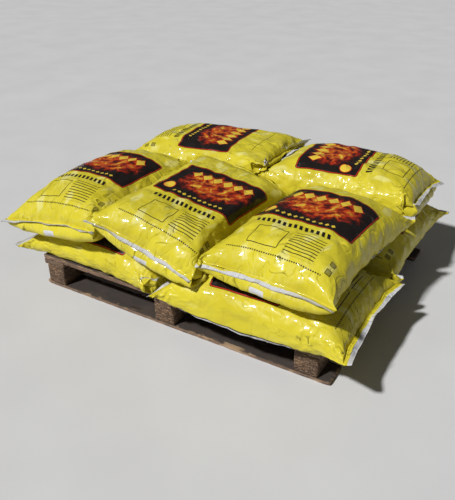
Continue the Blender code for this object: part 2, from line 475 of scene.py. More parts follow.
def border_distance(rows, points, size, seed):
    """Distance of each place to the straight border of the cell that it lies in.

    A cell holds the places nearest to its middle. The distance to the border with another
    cell is half the middles' distance less the place's offset along the line between them,
    so over each cell it is a low pyramid with flat sides and straight edges.
    """
    around, along = flat_places(rows, points)
    middles = shaken_grid(size, seed)
    nearest = np.full((rows, points), FAR)
    home = np.zeros((rows, points), int)
    for k, (a, b) in enumerate(middles):
        distance = np.hypot(wrapped(around - a), along - b)
        home = np.where(distance < nearest, k, home)
        nearest = np.minimum(nearest, distance)
    home_u, home_v = middles[home, 0], middles[home, 1]
    offset_u, offset_v = wrapped(around - home_u), along - home_v
    border = np.full((rows, points), FAR)
    for k, (a, b) in enumerate(middles):
        u = wrapped(a - home_u)
        v = b - home_v
        apart = np.hypot(u, v) + NO_LENGTH
        inside = apart / 2 - (offset_u * u + offset_v * v) / apart
        border = np.where(home == k, border, np.minimum(border, inside))
    return border


def creased_film(p, sack):
    """The film taken in to flat facets: by slope times what a place's border distance lacks.

    Facets are strong in some patches and faint in others, and fade out in the sealed rows.
    """
    rows, points = p.shape[1:]
    normal = unit_normals(p)
    rng = np.random.default_rng(sack.seed + PATCH_SEED)
    patches = smooth_noise(rng, (rows, points), FACET_PATCHES)
    strength = np.clip(FACET_MEAN + FACET_VARIES * patches, *FACET_LIMITS)
    row = np.arange(rows)
    from_end = np.minimum(row, row[::-1])[:, None] * FLAT_LENGTH / (rows - 1)
    strength = strength * np.clip((from_end - SEAL_DEPTH) / FACET_FADE, 0.0, 1.0)
    for seed, (size, slope) in enumerate(FACETS, sack.seed + FACET_SEED):
        border = border_distance(rows, points, size, seed)
        taken_in = strength * slope * np.maximum(FACET_REACH * size - border, 0.0)
        p = p - normal * taken_in.astype(SINGLE)
    return p


def crimped_ends(p, sack):
    """Both sealed ends droop and wave, more towards their edges, both films alike."""
    rows, points = p.shape[1:]
    half = points // 2
    across = np.abs((np.arange(points) + half) % points - half)
    seal_rows = SEAL_DEPTH / FLAT_LENGTH * (rows - 1)
    rng = np.random.default_rng(sack.seed + WAVE_SEED)
    p = p.copy()
    for inward in (np.arange(rows), np.arange(rows)[::-1]):
        share = np.clip(1.0 - inward / seal_rows, 0.0, 1.0)[:, None]
        wave = np.zeros(half + 1)
        for height, cells in SEAL_WAVES:
            wave += height * smooth_noise(rng, (2, half + 1), (1, cells))[0]
        varies = smooth_noise(rng, (2, half + 1), (1, DROOP_CELLS))[0]
        droop = SEAL_DROOP * (1.0 + DROOP_VARIES * varies)
        p[2] += (share * wave[across] - share * share * droop[across]).astype(SINGLE)
    return p


def draped_film(p, sack, ground):
    """Slack film over the relaxed form: the fuel holds it up, and it wrinkles where it is slack.

    The fuel's surface is the relaxed form moved inward by LUMP_INSET, by LUMP_DEPTH times the
    valleys, and by SIDE_SLACK at the side folds. The film is SLACK_ALONG times as long as the
    tube, and it starts out puckered along its sides.
    """
    p = refined(p)
    rows, points = p.shape[1:]
    normal = unit_normals(p)
    ring = SINGLE(TUBE_ROUND / points)
    row = SINGLE(FLAT_LENGTH / (rows - 1) * SLACK_ALONG)
    seal_rows = round(SEAL_DEPTH / float(row))
    from_fold = 1.0 - np.abs((np.arange(points) / points * 4.0) % 2.0 - 1.0)
    side = np.clip(1.0 - from_fold / SIDE_SHARE, 0.0, 1.0)[None]
    depth = LUMP_INSET + LUMP_DEPTH * valleys(rows, points, sack.seed) + SIDE_SLACK * side
    fuel = (normal * p).sum(0) - depth
    rng = np.random.default_rng(sack.seed)
    waves = smooth_noise(rng, (rows, points), PUCKER_CELLS)
    p = p + normal * (waves * side * PUCKER).astype(SINGLE)
    walls = walls_of(sack)
    top = top_of(sack)
    before = p.copy()
    for _ in range(DRAPE_STEPS):
        moved = (p - before) * SINGLE(DRAPE_SPEED)
        before = p.copy()
        p = p + moved - normal * SINGLE(DRAPE_PULL)
        for _ in range(DRAPE_SWEEPS):
            keep_film(p, ring, row, DRAPE_STIFFNESS)
            close_seals(p, seal_rows)
        lack = np.maximum(fuel - (normal * p).sum(0), 0.0)
        lack[:seal_rows + 1] = 0.0
        lack[-seal_rows - 1:] = 0.0
        p += normal * lack * SINGLE(DRAPE_EASE)
        stop_at_neighbours(p, before, walls, ground, top)
    return p


def slumped_ends(p, sack, ground):
    """The fill slumps out under the seals: the back film bulges by SLUMP at most.

    The bulge is a half sine of the square root of the share of SLUMP_REACH from the seal, and
    falls off towards the side folds with 1 - w^4, w being the share of the half width.
    """
    rows, points = p.shape[1:]
    from_foot = np.arange(rows) * FLAT_LENGTH / (rows - 1)
    share_round = np.arange(points) / points * 2.0
    width = np.where(share_round > 1.0, 1.0 - np.abs(2.0 * share_round - 3.0) ** 4, 0.0)[None]
    turn = math.radians(sack.heading)
    before = p.copy()
    for from_end, way in ((from_foot, -1.0), (from_foot[::-1], 1.0)):
        share = np.clip((from_end - SEAL_DEPTH) / (SLUMP_REACH - SEAL_DEPTH), 0.0, 1.0)
        bulge = (np.sin(np.pi * np.sqrt(share))[:, None] * width * SLUMP).astype(SINGLE)
        p[0] += bulge * SINGLE(way * math.cos(turn))
        p[1] += bulge * SINGLE(way * math.sin(turn))
        p[2] -= bulge * SINGLE(SLUMP_DOWN)
    stop_at_neighbours(p, before, walls_of(sack), ground, top_of(sack))
    return p


def half_wave(value, low, high):
    """A half sine squared from low to high, and 0 outside."""
    return np.sin(np.pi * np.clip((value - low) / (high - low), 0.0, 1.0)) ** 2


def hung_over_rim(p):
    """The lower front fold hangs over the deck's rim: a half wave round, the root of one along."""
    around, along = flat_places(*p.shape[1:])
    around = np.where(around < FLAT_WIDTH / 2, around + TUBE_ROUND, around)
    share = half_wave(around, *OVERHANG_ROUND) * np.sqrt(half_wave(along, *OVERHANG_ALONG))
    p[1] -= (share * OVERHANG[0]).astype(SINGLE)
    p[2] -= (share * OVERHANG[1]).astype(SINGLE)
    return p


def deck_ground():
    """The deck's height, falling off past its rim with the square of the distance from it."""
    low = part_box("deck_board_1")[0]
    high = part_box("deck_board_7")[1]

    def height(x, y):
        past_x = np.maximum(low[0] - x, x - high[0])
        past_y = np.maximum(low[1] - y, y - high[1])
        share = np.clip(np.maximum(past_x, past_y) / RIM_EASE, 0.0, 1.0)
        return DECK_TOP + FILM_GAP - RIM_DROP * share ** 2
    return height


def field_ground(sacks, base):
    """Height of the highest film under each place, on a square field read between its cells."""
    cells = int(2 * FIELD_REACH / FIELD_CELL)
    field = np.full((cells, cells), base, SINGLE)
    for p in sacks:
        for dx in (-1, 0, 1):
            for dy in (-1, 0, 1):
                i = ((p[0] + FIELD_REACH) / FIELD_CELL).astype(int) + dx
                j = ((p[1] + FIELD_REACH) / FIELD_CELL).astype(int) + dy
                np.maximum.at(field, (i.ravel(), j.ravel()), p[2].ravel())

    def height(x, y):
        u = (x + FIELD_REACH) / FIELD_CELL - 0.5
        v = (y + FIELD_REACH) / FIELD_CELL - 0.5
        i = u.astype(int)
        j = v.astype(int)
        fu = u - i
        fv = v - j
        near = field[i, j] * (1 - fu) + field[i + 1, j] * fu
        far = field[i, j + 1] * (1 - fu) + field[i + 1, j + 1] * fu
        return near * (1 - fv) + far * fv + SINGLE(FILM_GAP)
    return height


def grid_quads(rows, points):
    """The cells of a grid that closes round on itself, by the numbers of their four points."""
    index = np.arange(rows * points).reshape(rows, points)
    right = np.roll(index, -1, axis=1)
    return np.stack([index[:-1], right[:-1], right[1:], index[1:]], axis=-1).reshape(-1, 4)


def grid_places(quads, points):
    """Row and column of each corner of the cells, one past the last where a cell closes round."""
    rows, columns = np.divmod(quads, points)
    closing = np.ptp(columns, axis=1, keepdims=True) > 1
    return rows.ravel(), np.where(closing & (columns == 0), points, columns).ravel()


def set_map(mesh, name, places):
    """The mesh's own map: a place for each corner of its cells, and 0 for those of its ends."""
    every = np.zeros((len(mesh.loops), 2))
    every[:len(places)] = places
    mesh.uv_layers.new(name=name).data.foreach_set("uv", every.ravel())


def add_piece(name, mesh, materials):
    """A new piece that rides on the one body, with its materials."""
    mesh.shade_smooth()
    for material in materials:
        mesh.materials.append(material)
    piece = bpy.data.objects.new(name, mesh)
    bpy.context.scene.collection.objects.link(piece)
    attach(piece, "root")
    return piece


def film_mesh(name, p):
    """The film as one closed mesh: cells round the tube, and a strip that closes each end.

    Its own map gives metres round the flat tube and metres along it.
    """
    rows, points = p.shape[1:]
    p = p + unit_normals(p) * SINGLE(FILM_GAP / 2)
    walls = grid_quads(rows, points)[:, ::-1]
    k = np.arange(points // 2)
    strip = np.stack([k, (points - k) % points, points - k - 1, k + 1], axis=-1)
    ends = [strip, strip[:, ::-1] + (rows - 1) * points]
    mesh = bpy.data.meshes.new(name)
    quads = np.concatenate([walls, *ends])
    mesh.from_pydata(np.moveaxis(p, 0, -1).reshape(-1, 3).tolist(), [], quads.tolist())
    row, column = grid_places(walls, points)
    around = column / points * TUBE_ROUND
    set_map(mesh, "flat_film", np.stack([around, np.linspace(0.0, FLAT_LENGTH, rows)[row]], -1))
    mesh.validate()
    return mesh


def film_sack(sack, p, material):
    """The sack's film as a piece that stands for the sack's node."""
    name = sack.node + "_film"
    mesh = film_mesh(name, crimped_ends(creased_film(p, sack), sack))
    piece = add_piece(name, mesh, [material])
    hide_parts(sack.node)


def settled_sack(sack, ground, floor_z):
    """A sack's film at rest on its ground, with the slump or overhang that its place gives it."""
    p = draped_film(relaxed_sack(sack, ground, floor_z), sack, ground)
    if sack.node == OVERHUNG_SACK:
        return hung_over_rim(p)
    return slumped_ends(p, sack, ground) if floor_z == LAYER_TOP else p


def build_sacks(material):
    """The lower layer settles on the deck, the upper one on it, and the last sack on both."""
    on_deck = deck_ground()
    lower = [settled_sack(sack, on_deck, DECK_TOP) for sack in LOWER_SACKS]
    on_lower = field_ground(lower, DECK_TOP)
    upper = [settled_sack(sack, on_lower, LAYER_TOP) for sack in UPPER_SACKS]
    upper.append(settled_sack(LAST_SACK, field_ground(lower + upper[-1:], DECK_TOP), LAYER_TOP))
    for sack, p in zip((*LOWER_SACKS, *UPPER_SACKS, LAST_SACK), lower + upper):
        film_sack(sack, p, material)


# Where a dark, a middle and a light tone lie on a ramp
TONE_PLACES = (0.25, 0.50, 0.75)


class Value:
    """An output of a shader node: a sum or product of values adds the Math nodes for it."""

    def __init__(self, tree, socket):
        self.tree = tree
        self.socket = socket

    def node(self, kind, settings, inputs, output=0):
        """A new node: its type, its settings first, then its sockets' values or links."""
        made = self.tree.nodes.new(kind)
        for name, setting in settings.items():
            if name == "stops":
                set_stops(made.color_ramp, setting)
            else:
                setattr(made, name, setting)
        for name, given in inputs.items():
            if isinstance(given, Value):
                self.tree.links.new(given.socket, made.inputs[name])
            else:
                made.inputs[name].default_value = given
        return Value(self.tree, made.outputs[output])

    def math(self, operation, *others):
        inputs = dict(enumerate((self, *others)))
        return self.node("ShaderNodeMath", {"operation": operation}, inputs)

    def __add__(self, other):
        return self.math("ADD", other)

    def __mul__(self, other):
        return self.math("MULTIPLY", other)

    def __sub__(self, other):
        return self.math("SUBTRACT", other)

    def __rsub__(self, other):
        return self * -1.0 + other

    def __truediv__(self, other):
        return self.math("DIVIDE", other)

    def __abs__(self):
        return self.math("ABSOLUTE")

    __radd__ = __add__
    __rmul__ = __mul__

    def clipped(self):
        return self.node("ShaderNodeClamp", {}, {"Value": self})

    def least(self, other):
        return self.math("MINIMUM", other)

    def most(self, other):
        return self.math("MAXIMUM", other)

    def over(self, edge, soft):
        """0 below the edge and 1 above it, over a ramp as wide as soft."""
        return ((self - edge) / soft + 0.5).clipped()

    def under(self, edge, soft):
        """1 below the edge and 0 above it."""
        return 1.0 - self.over(edge, soft)

    def folded(self, pitch):
        """Distance from the middle of the repeat that this value lies in."""
        return abs(self.math("FLOORED_MODULO", pitch) - pitch / 2.0)

    def noise(self, scale, detail=2.0, roughness=0.5):
        """Smooth noise from 0 to 1 over this vector."""
        inputs = {"Vector": self, "Scale": scale, "Detail": detail, "Roughness": roughness}
        return self.node("ShaderNodeTexNoise", {}, inputs)

    def cells(self, scale, feature="F1", output="Distance"):
        """Cells over this vector: the distance to a cell's middle or edge, or its own colour."""
        inputs = {"Vector": self, "Scale": scale}
        return self.node("ShaderNodeTexVoronoi", {"feature": feature}, inputs, output)

    def ramp(self, stops):
        """Colour by this value: stops are (place, (red, green, blue))."""
        return self.node("ShaderNodeValToRGB", {"stops": stops}, {"Fac": self})

    def toned(self, tones):
        """Colour by this value through a dark, a middle and a light tone."""
        return self.ramp(tuple(zip(TONE_PLACES, tones)))

    def mixed(self, colour, mask):
        """This colour, with another one laid over it where the mask is 1."""
        other = colour if isinstance(colour, Value) else (*colour, 1.0)
        inputs = {"Factor": mask, "A": self, "B": other}
        return self.node("ShaderNodeMix", {"data_type": "RGBA"}, inputs, 2)


def set_stops(ramp, stops):
    """Gives a ramp its stops, adding those that it lacks."""
    while len(ramp.elements) < len(stops):
        ramp.elements.new(1.0)
    for element, (place, colour) in zip(ramp.elements, stops):
        element.position = place
        element.color = (*colour, 1.0)


class Finish:
    """One procedural material: its shader, and the places its patterns are worked out from.

    In a finish a noise has its scale to the metre, detail and roughness, a ramp has its edge and
    width, and what a mask is multiplied by is how strongly it shows.
    """

    def __init__(self, name, **constants):
        self.material = bpy.data.materials.new(name)
        self.material.use_nodes = True
        self.tree = self.material.node_tree
        self.shader = self.tree.nodes["Principled BSDF"]
        for socket, value in constants.items():
            self.shader.inputs[socket.replace("_", " ")].default_value = value
        self.start = Value(self.tree, None)

    def place(self):
        return self.start.node("ShaderNodeTexCoord", {}, {}, "Object")

    def map(self, name):
        return self.start.node("ShaderNodeUVMap", {"uv_map": name}, {})

    def attribute(self, name):
        return self.start.node("ShaderNodeAttribute", {"attribute_name": name}, {}, "Fac")

    def parts(self, vector):
        split = vector.node("ShaderNodeSeparateXYZ", {}, {"Vector": vector}).socket.node
        return [Value(self.tree, output) for output in split.outputs]

    def vector(self, x, y, z=0.0):
        return self.start.node("ShaderNodeCombineXYZ", {}, {"X": x, "Y": y, "Z": z})

    def paint(self, colour, roughness, height, depth):
        """Links colour, roughness and a bump whose height runs over depth in metres."""
        self.tree.links.new(colour.socket, self.shader.inputs["Base Color"])
        self.tree.links.new(roughness.socket, self.shader.inputs["Roughness"])
        inputs = {"Height": height, "Distance": depth, "Strength": 1.0}
        bump = height.node("ShaderNodeBump", {}, inputs)
        self.tree.links.new(bump.socket, self.shader.inputs["Normal"])
        return self.material


# Print of the film, in metres: across from the face's middle line, and up from the foot's end.
# A mark is a rounded box, and a row repeats a lozenge across the face out to its reach
Mark = namedtuple("Mark", "middle half corner")
Row = namedtuple("Row", "height pitch half reach")
EDGE_SOFT = 0.0012

# The dark panel, its red line's inset and width, and the embers, lozenges and disc on it
PANEL = Mark((0.0, 0.398), (0.180, 0.123), 0.012)
PANEL_RIM = (0.004, 0.003)
EMBER_SIZE = 0.046
EMBER_LIFT = 0.012
EMBER_HEAT = 1.15
EMBER_PLACES = (0.36, 0.47, 0.56, 0.66, 0.84)
EMBER_TONES = ((0.110, 0.010, 0.006), (0.380, 0.028, 0.010), (0.520, 0.110, 0.012))
LOZENGES = Row(0.462, 0.044, (0.020, 0.026), 0.132)
BEADS = Row(0.303, 0.022, (0.008, 0.008), 0.110)
DISC = Mark((-0.142, 0.330), (0.020, 0.020), 0.020)
RED_RIM = 0.003

# Black marks: slanted bars, rules, a dotted line, an empty box and two small ones at one side.
# What is striped has the pitch and half width of its stripes, and what is outlined its line
BAR_BLOCK = Mark((-0.010, 0.243), (0.135, 0.011), 0.001)
BARS = (0.019, 0.0055)
BAR_SLANT = 0.35
RULE_BLOCK = Mark((0.074, 0.163), (0.052, 0.048), 0.001)
RULES = (0.012, 0.0016)
TOP_BLOCK = Mark((0.010, 0.606), (0.110, 0.011), 0.001)
TOP_RULES = (0.012, 0.0012)
DOTS = (0.008, 0.0024)
DOTS_HEIGHT = 0.098
DOTS_REACH = 0.165
EMPTY_BOX = Mark((-0.052, 0.165), (0.052, 0.042), 0.003)
EMPTY_LINE = 0.0030
SMALL_BOX = Mark((0.180, 0.0), (0.009, 0.009), 0.001)
SMALL_LINE = 0.0022
SMALL_HEIGHT = 0.136
SMALL_PITCH = 0.034

# On the back a blank panel in a thin line, and a small box with a bar, half its height and inset
BACK_PANEL = Mark((0.0, 0.430), (0.214, 0.224), 0.012)
BACK_LINE = 0.005
FOOT_BOX = Mark((0.010, 0.044), (0.026, 0.011), 0.001)
FOOT_BAR = (0.005, 0.003)

FILM_YELLOW = (0.645, 0.556, 0.034)
FILM_DEEP = (0.545, 0.460, 0.024)
# Pale film: painted sheen, a painted reflection of the facets, with stress whitening in the creases
FILM_STRESS_AND_SHEEN = (0.780, 0.740, 0.300)
COAL_DUST = (0.10, 0.09, 0.05)
INK_BLACK = (0.012, 0.009, 0.008)
INK_RED = (0.520, 0.030, 0.012)
INK_GOLD = (0.720, 0.510, 0.050)

# The crimped seal shows white on its outer part, with ribs and a ragged edge
SEAL_WHITE = (0.620, 0.620, 0.640)
RIB_GREY = (0.36, 0.36, 0.37)
SEAL_SHOWN = 0.0125
SEAL_RAGGED = 0.014
RIB_PITCH = 0.006
RIB_BEND = 0.006

# Facets, wide and fine, and shards to the metre, how strongly painted sheen shows in shards and
# stress whitening with painted sheen in creases, where the flanks start, over what width, and how
# much of the painted sheen they lose
WIDE_FACETS = 15.0
FINE_FACETS = 31.0
SHARDS = 30.0
SHARD_SHEEN = 0.55
CREASE_STRESS_AND_SHEEN = 0.16
FLANK_START = (0.195, 0.070)
FLANK_SHEEN_LOSS = 0.75

# Depth of the film's relief, and the share that each kind of it takes
FILM_RELIEF = 0.008
WIDE_SHARE = 0.55
FINE_SHARE = 0.24
FOLD_SHARE = 0.22
PLEAT_SHARE = 0.45
RIB_SHARE = 0.10


def rounded_box(x, y, mark):
    """Distance outside a mark, and below 0 inside it."""
    across = (abs(x - mark.middle[0]) - (mark.half[0] - mark.corner)).most(0.0)
    up = (abs(y - mark.middle[1]) - (mark.half[1] - mark.corner)).most(0.0)
    return (across * across + up * up).math("SQRT") - mark.corner


def lozenge_row(s, t, row):
    """A straight row of lozenges: distance below 0 inside each, out to the row's reach."""
    one = s.folded(row.pitch) / row.half[0] + abs(t - row.height) / row.half[1] - 1.0
    return (one * min(row.half)).most(abs(s) - row.reach)


def stripes(value, kind):
    """Stripes of a pitch and half width over a value."""
    return value.folded(kind[0]).under(kind[1], EDGE_SOFT)


def outline(distance, thickness):
    """A line of the given thickness along the edge of a shape."""
    return abs(distance).under(thickness / 2.0, EDGE_SOFT)


def filled(distance):
    """1 inside a shape and 0 outside it."""
    return distance.under(0.0, EDGE_SOFT)


def gilded(colour, shape):
    """A shape in gold with a red rim."""
    return colour.mixed(INK_RED, filled(shape - RED_RIM)).mixed(INK_GOLD, filled(shape))


def ember_bed(finish, s, t):
    """Glowing bed of coals: dark lumps with worn edges, and red to gold heat between them."""
    place = finish.vector(s, t)
    warp = place.noise(22.0, 3.0)
    bent = finish.vector(s + warp * 0.050, t + warp * 0.030)
    crack = bent.cells(1.0 / EMBER_SIZE, "DISTANCE_TO_EDGE")
    wide = abs(s) / PANEL.half[0]
    high = abs(t - PANEL.middle[1] - EMBER_LIFT) / PANEL.half[1]
    heat = (EMBER_HEAT - (wide * wide * wide + high * high)).clipped()
    mottle = bent.noise(34.0, 4.0, 0.65)
    glow = (0.10 - crack * 0.5 + mottle * 1.15) * heat
    return glow.clipped().ramp(tuple(zip(EMBER_PLACES, (INK_BLACK, *EMBER_TONES, INK_GOLD))))


def face_print(finish, base, s, t):
    """The front face: a dark panel of embers, lozenges, beads and a disc, and plain black marks."""
    panel = rounded_box(s, t, PANEL)
    colour = base.mixed(ember_bed(finish, s, t), filled(panel))
    colour = colour.mixed(INK_RED, outline(panel + PANEL_RIM[0], PANEL_RIM[1]))
    colour = gilded(colour, lozenge_row(s, t, LOZENGES))
    colour = colour.mixed(INK_GOLD, filled(lozenge_row(s, t, BEADS)))
    colour = gilded(colour, rounded_box(s, t, DISC))
    bars = stripes(s + t * BAR_SLANT, BARS) * filled(rounded_box(s, t, BAR_BLOCK))
    rules = stripes(t, RULES) * filled(rounded_box(s, t, RULE_BLOCK))
    top_rules = stripes(t, TOP_RULES) * filled(rounded_box(s, t, TOP_BLOCK))
    dots = stripes(s, DOTS) * abs(t - DOTS_HEIGHT).under(DOTS[1], EDGE_SOFT)
    dots = dots * abs(s).under(DOTS_REACH, EDGE_SOFT)
    box = outline(rounded_box(s, t, EMPTY_BOX), EMPTY_LINE)
    small = outline(rounded_box(s, t.folded(SMALL_PITCH), SMALL_BOX), SMALL_LINE)
    small = small * abs(t - SMALL_HEIGHT).under(SMALL_PITCH, EDGE_SOFT)
    marks = bars.most(rules).most(top_rules).most(dots).most(box).most(small)
    return colour.mixed(INK_BLACK, marks)


def back_print(base, s, t):
    """The back face: a blank white panel in a thin black outline, and a small box by the foot."""
    panel = rounded_box(s, t, BACK_PANEL)
    box = rounded_box(s, t, FOOT_BOX)
    colour = base.mixed(SEAL_WHITE, filled(panel)).mixed(SEAL_WHITE, filled(box))
    bar = abs(t - FOOT_BOX.middle[1]).under(FOOT_BAR[0], EDGE_SOFT) * filled(box + FOOT_BAR[1])
    return colour.mixed(INK_BLACK, outline(panel, BACK_LINE).most(bar))


def film_base(finish, flat, place, cloud):
    """The bare film: yellow in clouds, with a pale painted sheen, less of it on its flanks.

    The painted sheen, a painted reflection, lies in some of the shard-like cells; along the edges
    of the wide and fine facets it is stress whitening together with painted sheen.
    """
    around, along, _ = finish.parts(flat)
    wide_edge = flat.cells(WIDE_FACETS, "DISTANCE_TO_EDGE")
    fine_edge = flat.cells(FINE_FACETS, "DISTANCE_TO_EDGE")
    patch = place.noise(8.0).over(0.50, 0.16)
    crease = wide_edge.under(0.030, 0.050).most(fine_edge.under(0.035, 0.060) * patch)
    shard = finish.vector(around + cloud * 0.06, along * 0.6 + cloud * 0.08)
    lot = finish.parts(shard.cells(SHARDS, "F1", "Color"))[0]
    # Painted sheen: pale shards stand for the reflection of the facets
    stress_and_sheen = lot.over(0.84, 0.04) * shard.cells(SHARDS, "DISTANCE_TO_EDGE").over(0.10, 0.16)
    flank = around.folded(FLAT_WIDTH).over(*FLANK_START)
    # Stress whitening along the creases, with painted sheen; the flanks, in shade, get less painted
    # sheen
    stress_and_sheen = (stress_and_sheen * SHARD_SHEEN).most(crease * patch * CREASE_STRESS_AND_SHEEN)
    stress_and_sheen = stress_and_sheen * (1.0 - flank * FLANK_SHEEN_LOSS)
    base = cloud.ramp(((0.25, FILM_DEEP), (0.60, FILM_YELLOW)))
    return base.mixed(FILM_STRESS_AND_SHEEN, stress_and_sheen), wide_edge * WIDE_SHARE + fine_edge * FINE_SHARE


def film_finish():
    """Glossy printed film with white crimped seals, specks of coal dust, facets and folds.

    The height adds the facets, folds where a stretched noise crosses its middle, pleats along
    the tube near both ends, and the ribs of the seals.
    """
    finish = Finish("printed_film", Specular_IOR_Level=0.14, Coat_Weight=0.23, Coat_Roughness=0.08)
    flat = finish.map("flat_film")
    around, along, _ = finish.parts(flat)
    place = finish.place()
    cloud = place.noise(6.0)
    base, facets = film_base(finish, flat, place, cloud)
    front = face_print(finish, base, around - FLAT_WIDTH / 2, along)
    back = back_print(base, around - FLAT_WIDTH * 1.5, along)
    colour = front.mixed(back, around.over(FLAT_WIDTH, EDGE_SOFT))
    from_end = along.least(FLAT_LENGTH - along)
    seal = (from_end + (place.noise(24.0, 3.0) - 0.5) * SEAL_RAGGED).under(SEAL_SHOWN, EDGE_SOFT)
    rib = (around + place.noise(20.0) * RIB_BEND).folded(RIB_PITCH) / (RIB_PITCH / 2.0)
    colour = colour.mixed(SEAL_WHITE, seal)
    colour = colour.mixed(RIB_GREY, seal * rib.over(0.75, 0.4) * 0.6)
    colour = colour.mixed(COAL_DUST, place.noise(38.0, 4.0, 0.7).over(0.70, 0.12) * 0.20)
    pleat = finish.vector(around * 46.0, along * 7.0).noise(1.0) * from_end.under(0.07, 0.12)
    bent = finish.vector(around * 24.0 + cloud * 5.0, along * 11.0 + cloud * 4.0).noise(1.0, 1.0)
    fold = (1.0 - abs(bent - 0.5) * 20.0).clipped() * place.noise(12.0, 1.0).over(0.52, 0.20)
    height = facets + fold * FOLD_SHARE + pleat * PLEAT_SHARE + rib * seal * RIB_SHARE
    return finish.paint(colour, 0.34 + place.noise(30.0) * 0.10, height, FILM_RELIEF)


# Sawn boards and pressed blocks: points round a section and in each rounded corner, length
# between sections, rings over each end, and how round an edge is and how deep it is worn
SECTION_POINTS = 50
CORNER_POINTS = 4
STATION = 0.010
LEAST_STATIONS = 6
END_RINGS = 3
WOOD_SEED = 40
Edge = namedtuple("Edge", "corner wear")
BOARD_EDGE = Edge(0.0022, 0.0022)
BLOCK_EDGE = Edge(0.0030, 0.0024)
EDGE_REACH = 4.0

# Two noises of the wear: length of a cell, fewest cells along, cells round and share of the wear.
# Then the wear's mean, how far in it goes from a side and from above, and how the ends shrink
WEAR_NOISES = ((0.030, 3, 14, 0.6), (0.011, 5, 30, 0.4))
WEAR_MEAN = 0.15
WORN_INWARD = (0.6, 0.8)
WORN_EASE = 0.02
END_SHRINK = 0.4

Chip = namedtuple("Chip", "low high depth")
# Where the front base board's upper edge has split away, along X, how it starts and ends, and
# how rough it is: its mean, and the part that the noise has in it
SPLIT = Chip(0.205, 0.310, 0.007)
SPLIT_EASE = (0.02, 0.05)
SPLIT_ROUGH = (0.7, 0.5)
SPLIT_BARE = 0.20


def section(width, height, corner):
    """A rounded rectangle's outline, its arc length, and how near each point is to a corner.

    Nearness is the exponential of minus the distance to the sharp corner over EDGE_REACH corners.
    """
    turn = np.linspace(0.0, np.pi / 2, CORNER_POINTS) + np.arange(4)[:, None] * np.pi / 2
    inner = (width / 2 - corner, height / 2 - corner)
    middles = np.array([(1, 1), (-1, 1), (-1, -1), (1, -1)]) * inner
    loop = middles[:, None] + corner * np.stack([np.cos(turn), np.sin(turn)], -1)
    loop = np.concatenate([*loop, loop[0][:1]])
    length = np.concatenate([[0.0], np.cumsum(np.linalg.norm(np.diff(loop, axis=0), axis=1))])
    even = np.linspace(0.0, length[-1], SECTION_POINTS, endpoint=False)
    arc = np.sort(np.concatenate([even, length[:-1]]))
    outline_at = np.stack([np.interp(arc, length, loop[:, k]) for k in range(2)], -1)
    gap = np.hypot(width / 2 - np.abs(outline_at[:, 0]), height / 2 - np.abs(outline_at[:, 1]))
    return outline_at, arc, np.exp(-gap / (EDGE_REACH * corner))


def torn_edge(split, x, outline_at, rough):
    """How much of a board's front upper edge is torn at each point, rough between both ends."""
    starts = np.clip((x - split.low) / SPLIT_EASE[0], 0.0, 1.0)
    inside = starts * np.clip((split.high - x) / SPLIT_EASE[1], 0.0, 1.0)
    front_upper = (outline_at[:, 1] > 0) & (outline_at[:, 0] < 0)
    return inside[:, None] * (SPLIT_ROUGH[0] + SPLIT_ROUGH[1] * rough) * front_upper[None]


def sawn_piece(node, axis, edge, seed, split=None):
    """A board or block in a node's box: its section carried along the axis, its edges worn.

    A point moves inward by the wear times the noise times its nearness to a corner or an end.
    The attribute bare holds how much of the weathered face has gone at each point, and
    upper_face is 1 on the upper face.
    """
    low, high = (np.array(corner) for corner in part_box(node))
    width, height = high[1 - axis] - low[1 - axis], high[2] - low[2]
    length = high[axis] - low[axis]
    rng = np.random.default_rng(seed)
    outline_at, arc, near_edge = section(width, height, edge.corner)
    along = np.linspace(0.0, length, max(LEAST_STATIONS, int(length / STATION)))
    near_end = np.exp(-np.minimum(along, length - along) / (EDGE_REACH * edge.corner))
    rough = np.zeros((len(along), len(arc)))
    for cell, fewest, cells_round, share in WEAR_NOISES:
        cells = (max(fewest, int(length / cell)), cells_round)
        rough += smooth_noise(rng, rough.shape, cells) * share
    near = np.maximum(near_edge[None], near_end[:, None])
    worn = np.clip(rough + WEAR_MEAN, 0.0, 1.0) * near * edge.wear
    bare = worn / edge.wear
    if split is not None:
        torn = torn_edge(split, low[axis] + along, outline_at, rough)
        worn = worn + torn * split.depth * near_edge[None]
        bare = np.maximum(bare, torn * (near_edge[None] > SPLIT_BARE))
    inward = -np.sign(outline_at) * WORN_INWARD
    inward[:, 0] *= np.minimum(np.abs(outline_at[:, 0]) / WORN_EASE, 1.0)
    ring = outline_at[None] + inward[None] * worn[..., None]
    shrink = 1.0 - edge.corner * END_SHRINK / min(width, height) * near_end
    upper = np.clip((outline_at[:, 1] - height / 2 + edge.corner) / edge.corner, 0.0, 1.0)
    mesh = carried_section(node, axis, along, ring * shrink[:, None, None], arc)
    set_attribute(mesh, "bare", np.pad(bare, ((END_RINGS, END_RINGS), (0, 0))))
    set_attribute(mesh, "upper_face", np.tile(upper, len(along) + 2 * END_RINGS))
    return mesh


